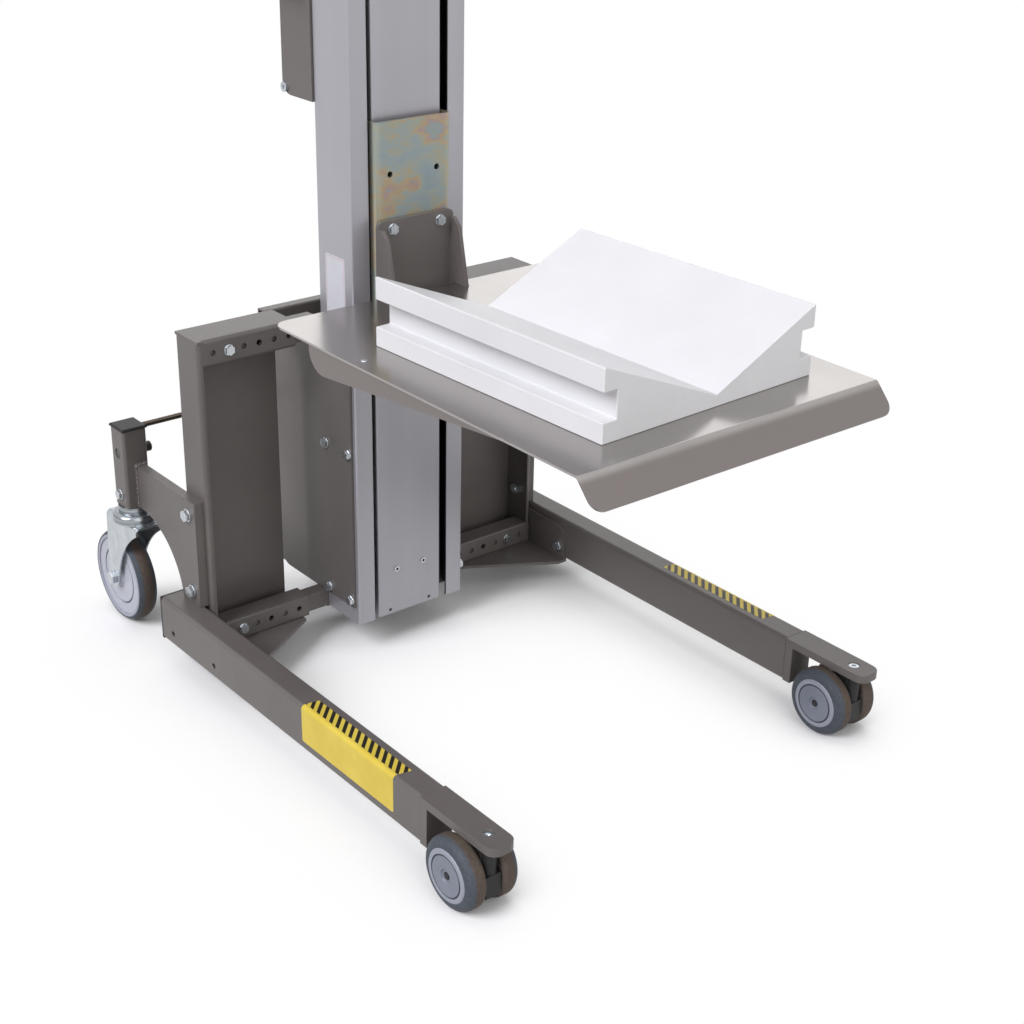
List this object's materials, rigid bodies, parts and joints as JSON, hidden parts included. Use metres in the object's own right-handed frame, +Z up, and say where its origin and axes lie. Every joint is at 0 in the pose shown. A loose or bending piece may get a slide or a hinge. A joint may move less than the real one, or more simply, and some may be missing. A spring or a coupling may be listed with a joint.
{
  "type": "material lift",
  "caption": "Mobile mast lift with straddle legs, a screw-driven carriage, a stainless tray and a V-block that holds rolls.",
  "frame": {"origin": "on the floor, under the middle of the lift's bounding box", "axes": "+Z up, -Y the way the legs and tray point, X across the legs"},
  "size_m": [0.74, 1.091, 1.912],
  "materials": {
    "frame_paint": "fine-textured powder coat, warm grey",
    "anodised_aluminium": "satin anodised",
    "dark_channel": "mill finish in shade",
    "zinc_plate": "yellow passivated zinc",
    "bright_zinc": "bright zinc",
    "stainless_sheet": "brushed stainless steel",
    "white_plastic": "machined white polyethylene",
    "black_plastic": "moulded black plastic",
    "blue_grey_plastic": "moulded blue-grey plastic",
    "grey_tyre": "non-marking grey rubber",
    "machined_steel": "turned steel",
    "bronze": "cast bronze",
    "green_button": "moulded plastic",
    "red_button": "moulded plastic",
    "battery_case": "moulded battery case"
  },
  "bodies": {
    "lift_frame": {"mast_profile": "anodised_aluminium", "mast_front_cover": "anodised_aluminium", "mast_top_cap": "black_plastic", "mast_foot_plate": "machined_steel", "screw_bearings": "machined_steel", "central_chassis": "frame_paint", "drive_housing": "frame_paint", "battery_pack": "battery_case", "drive_motor": "black_plastic", "control_box": "frame_paint", "push_handle": "frame_paint", "handle_grips": "black_plastic", "end_caps": "black_plastic", "cross_bar": "machined_steel", "height_pins": "machined_steel", "frame_fasteners": "bright_zinc", "mast_fasteners": "bright_zinc", "side_frame_left": "frame_paint", "gusset_bracket_left": "frame_paint", "leg_tube_left": "frame_paint", "fork_plate_left": "frame_paint", "caster_arm_left": "frame_paint", "side_frame_right": "frame_paint", "gusset_bracket_right": "frame_paint", "leg_tube_right": "frame_paint", "fork_plate_right": "frame_paint", "caster_arm_right": "frame_paint"},
    "carriage": {"carriage_plate": "zinc_plate", "roller_axles": "machined_steel", "screw_nut": "bronze", "tray_bracket": "frame_paint", "bracket_fasteners": "bright_zinc", "tray": "stainless_sheet", "tray_stiffeners": "stainless_sheet", "v_block": "white_plastic"},
    "screw": {"lift_screw": "machined_steel"},
    "guide_roller_1": {"guide_roller_1": "black_plastic"},
    "guide_roller_2": {"guide_roller_2": "black_plastic"},
    "guide_roller_3": {"guide_roller_3": "black_plastic"},
    "guide_roller_4": {"guide_roller_4": "black_plastic"},
    "up_button": {"up_button": "green_button"},
    "down_button": {"down_button": "green_button"},
    "stop_button": {"stop_button": "red_button"},
    "front_caster_left": {"front_caster_body_left": "black_plastic"},
    "front_outer_wheel_left": {"front_outer_rim_left": "blue_grey_plastic", "front_outer_tyre_left": "grey_tyre"},
    "front_inner_wheel_left": {"front_inner_rim_left": "blue_grey_plastic", "front_inner_tyre_left": "grey_tyre"},
    "rear_caster_left": {"rear_caster_fork_left": "bright_zinc"},
    "rear_wheel_left": {"rear_wheel_left": "blue_grey_plastic", "rear_tyre_left": "grey_tyre"},
    "front_caster_right": {"front_caster_body_right": "black_plastic"},
    "front_outer_wheel_right": {"front_outer_rim_right": "blue_grey_plastic", "front_outer_tyre_right": "grey_tyre"},
    "front_inner_wheel_right": {"front_inner_rim_right": "blue_grey_plastic", "front_inner_tyre_right": "grey_tyre"},
    "rear_caster_right": {"rear_caster_fork_right": "bright_zinc"},
    "rear_wheel_right": {"rear_wheel_right": "blue_grey_plastic", "rear_tyre_right": "grey_tyre"}
  },
  "joints": [
    {"name": "carriage_lift", "type": "slide", "parent": "lift_frame", "child": "carriage", "axis": [0, 0, 1], "range_m": [-0.44, 1.04]},
    {"name": "screw_turn", "type": "hinge", "parent": "lift_frame", "child": "screw", "pos_m": [0, 0.1885, 0.9], "axis": [0, 0, 1], "continuous": true},
    {"name": "guide_roller_1_spin", "type": "hinge", "parent": "carriage", "child": "guide_roller_1", "pos_m": [-0.081, 0.1648, 0.6], "axis": [1, 0, 0], "continuous": true},
    {"name": "guide_roller_2_spin", "type": "hinge", "parent": "carriage", "child": "guide_roller_2", "pos_m": [0.081, 0.1648, 0.6], "axis": [1, 0, 0], "continuous": true},
    {"name": "guide_roller_3_spin", "type": "hinge", "parent": "carriage", "child": "guide_roller_3", "pos_m": [-0.081, 0.1648, 0.79], "axis": [1, 0, 0], "continuous": true},
    {"name": "guide_roller_4_spin", "type": "hinge", "parent": "carriage", "child": "guide_roller_4", "pos_m": [0.081, 0.1648, 0.79], "axis": [1, 0, 0], "continuous": true},
    {"name": "up_button_press", "type": "slide", "parent": "lift_frame", "child": "up_button", "axis": [0, -1, 0], "range_m": [0, 0.003], "stiffness_N_per_m": 800, "springref_m": -0.001},
    {"name": "down_button_press", "type": "slide", "parent": "lift_frame", "child": "down_button", "axis": [0, -1, 0], "range_m": [0, 0.003], "stiffness_N_per_m": 800, "springref_m": -0.001},
    {"name": "stop_button_press", "type": "slide", "parent": "lift_frame", "child": "stop_button", "axis": [0, -1, 0], "range_m": [0, 0.004], "stiffness_N_per_m": 800, "springref_m": -0.001},
    {"name": "front_caster_left_swivel", "type": "hinge", "parent": "lift_frame", "child": "front_caster_left", "pos_m": [-0.33, -0.468, 0.08], "axis": [0, 0, 1], "continuous": true},
    {"name": "front_outer_wheel_left_spin", "type": "hinge", "parent": "front_caster_left", "child": "front_outer_wheel_left", "pos_m": [-0.3565, -0.436, 0.05], "axis": [1, 0, 0], "continuous": true},
    {"name": "front_inner_wheel_left_spin", "type": "hinge", "parent": "front_caster_left", "child": "front_inner_wheel_left", "pos_m": [-0.3035, -0.436, 0.05], "axis": [1, 0, 0], "continuous": true},
    {"name": "rear_caster_left_swivel", "type": "hinge", "parent": "lift_frame", "child": "rear_caster_left", "pos_m": [-0.319, 0.4255, 0.2], "axis": [0, 0, 1], "continuous": true},
    {"name": "rear_wheel_left_spin", "type": "hinge", "parent": "rear_caster_left", "child": "rear_wheel_left", "pos_m": [-0.319, 0.4705, 0.075], "axis": [1, 0, 0], "continuous": true},
    {"name": "front_caster_right_swivel", "type": "hinge", "parent": "lift_frame", "child": "front_caster_right", "pos_m": [0.33, -0.468, 0.08], "axis": [0, 0, 1], "continuous": true},
    {"name": "front_outer_wheel_right_spin", "type": "hinge", "parent": "front_caster_right", "child": "front_outer_wheel_right", "pos_m": [0.3565, -0.436, 0.05], "axis": [1, 0, 0], "continuous": true},
    {"name": "front_inner_wheel_right_spin", "type": "hinge", "parent": "front_caster_right", "child": "front_inner_wheel_right", "pos_m": [0.3035, -0.436, 0.05], "axis": [1, 0, 0], "continuous": true},
    {"name": "rear_caster_right_swivel", "type": "hinge", "parent": "lift_frame", "child": "rear_caster_right", "pos_m": [0.319, 0.4255, 0.2], "axis": [0, 0, 1], "continuous": true},
    {"name": "rear_wheel_right_spin", "type": "hinge", "parent": "rear_caster_right", "child": "rear_wheel_right", "pos_m": [0.319, 0.4705, 0.075], "axis": [1, 0, 0], "continuous": true}
  ],
  "couplings": [
    {"joint": "screw_turn", "follows": "carriage_lift", "rad_per_m": 314.16},
    {"joint": "guide_roller_1_spin", "follows": "carriage_lift", "rad_per_m": 58.824},
    {"joint": "guide_roller_2_spin", "follows": "carriage_lift", "rad_per_m": 58.824},
    {"joint": "guide_roller_3_spin", "follows": "carriage_lift", "rad_per_m": 58.824},
    {"joint": "guide_roller_4_spin", "follows": "carriage_lift", "rad_per_m": 58.824}
  ]
}
